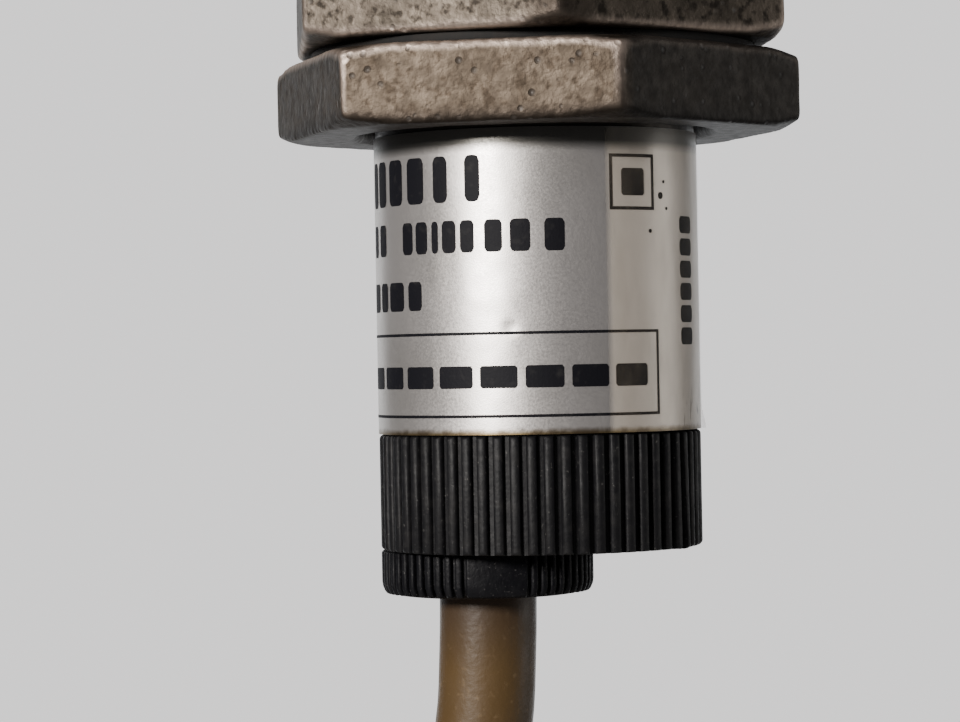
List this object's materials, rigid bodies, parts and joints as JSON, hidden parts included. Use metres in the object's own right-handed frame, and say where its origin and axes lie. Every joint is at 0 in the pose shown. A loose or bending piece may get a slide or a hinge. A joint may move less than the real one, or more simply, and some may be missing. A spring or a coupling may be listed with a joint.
{
  "type": "proximity sensor",
  "caption": "Cylindrical inductive proximity sensor with a threaded barrel, lock nuts, a rear cable gland and a pre-wired cable.",
  "frame": {"origin": "on the barrel's axis, in the plane where the two lock nuts meet, where a panel is clamped", "axes": "+Z along the barrel's axis to the sensing face; +X from the off-centre cable gland to the indicator; +Y away from the viewer"},
  "size_m": [0.0485, 0.053, 0.2748],
  "materials": {
    "nickel_plated_brass": "satin nickel plating, worn",
    "brass": "satin",
    "dark_spring_steel": "dark",
    "copper": "enamelled",
    "tinned_copper": "satin",
    "silver_foil": "satin",
    "clear_film": "clear",
    "black_plastic": "matt",
    "white_plastic": "matt",
    "black_rubber": "matt",
    "ferrite": "matt",
    "ceramic": "matt",
    "orange_glass": "gloss",
    "board_green": "satin",
    "insulating_paper": "matt",
    "potting_resin": "satin",
    "clear_lens": "clear",
    "amber_lens": "gloss",
    "olive_cable_jacket": "satin",
    "brown_wire": "satin",
    "blue_wire": "satin"
  },
  "bodies": {
    "sensor": {"barrel": "nickel_plated_brass", "sensing_cap": "black_plastic", "end_cap": "black_plastic", "cap_seal_ring": "black_rubber", "rating_label": "silver_foil", "label_film": "clear_film", "cable_grommet": "black_rubber", "indicator_lens": "clear_lens", "indicator_led": "amber_lens", "ferrite_core": "ferrite", "coil_bobbin": "white_plastic", "coil_winding": "copper", "coil_lead_left": "copper", "coil_lead_right": "copper", "circuit_board": "board_green", "oscillator_chip": "black_plastic", "switching_transistor": "black_plastic", "gain_trimmer": "white_plastic", "thyristor": "black_plastic", "ceramic_capacitor_front": "ceramic", "ceramic_capacitor_middle": "ceramic", "bridge_rectifier": "black_plastic", "film_resistor_front": "ceramic", "film_resistor_rear": "ceramic", "series_resistor": "ceramic", "zener_diode": "orange_glass", "filter_capacitor": "black_plastic", "varistor": "ceramic", "insulating_sleeve": "insulating_paper", "potting_resin": "potting_resin", "cable_inner_end": "olive_cable_jacket", "inner_brown_lead": "brown_wire", "inner_blue_lead": "blue_wire", "cable": "olive_cable_jacket", "cable_hank": "olive_cable_jacket", "cable_tail": "olive_cable_jacket", "brown_lead": "brown_wire", "blue_lead": "blue_wire", "brown_lead_tip": "tinned_copper", "blue_lead_tip": "tinned_copper", "hank_tie": "black_rubber"},
    "front_washer": {"front_lock_washer": "dark_spring_steel"},
    "front_nut": {"front_lock_nut": "nickel_plated_brass"},
    "rear_washer": {"rear_lock_washer": "dark_spring_steel"},
    "rear_nut": {"rear_lock_nut": "nickel_plated_brass"},
    "gland_follower": {"gland_washer": "brass"},
    "gland_nut": {"gland_nut": "black_plastic"}
  },
  "joints": [
    {"name": "front_washer_travel", "type": "slide", "parent": "sensor", "child": "front_washer", "axis": [0, 0, 1], "range_m": [0, 0.0471]},
    {"name": "front_nut_turn", "type": "hinge", "parent": "front_washer", "child": "front_nut", "pos_m": [0, 0, 0.0022], "axis": [0, 0, 1], "range_deg": [0, 16920]},
    {"name": "rear_washer_travel", "type": "slide", "parent": "sensor", "child": "rear_washer", "axis": [0, 0, 1], "range_m": [-0.0041, 0]},
    {"name": "rear_nut_turn", "type": "hinge", "parent": "rear_washer", "child": "rear_nut", "pos_m": [0, 0, -0.0022], "axis": [0, 0, 1], "range_deg": [-1440, 0]},
    {"name": "gland_washer_travel", "type": "slide", "parent": "sensor", "child": "gland_follower", "axis": [0, 0, 1], "range_m": [-0.00225, 0]},
    {"name": "gland_nut_turn", "type": "hinge", "parent": "gland_follower", "child": "gland_nut", "pos_m": [-0.00282, 0, -0.0265], "axis": [0, 0, 1], "range_deg": [-1080, 0]}
  ],
  "couplings": [
    {"joint": "front_washer_travel", "follows": "front_nut_turn", "m_per_rad": 0.00015915},
    {"joint": "rear_washer_travel", "follows": "rear_nut_turn", "m_per_rad": 0.00015915},
    {"joint": "gland_nut_turn", "follows": "gland_washer_travel", "rad_per_m": 8377.6}
  ]
}
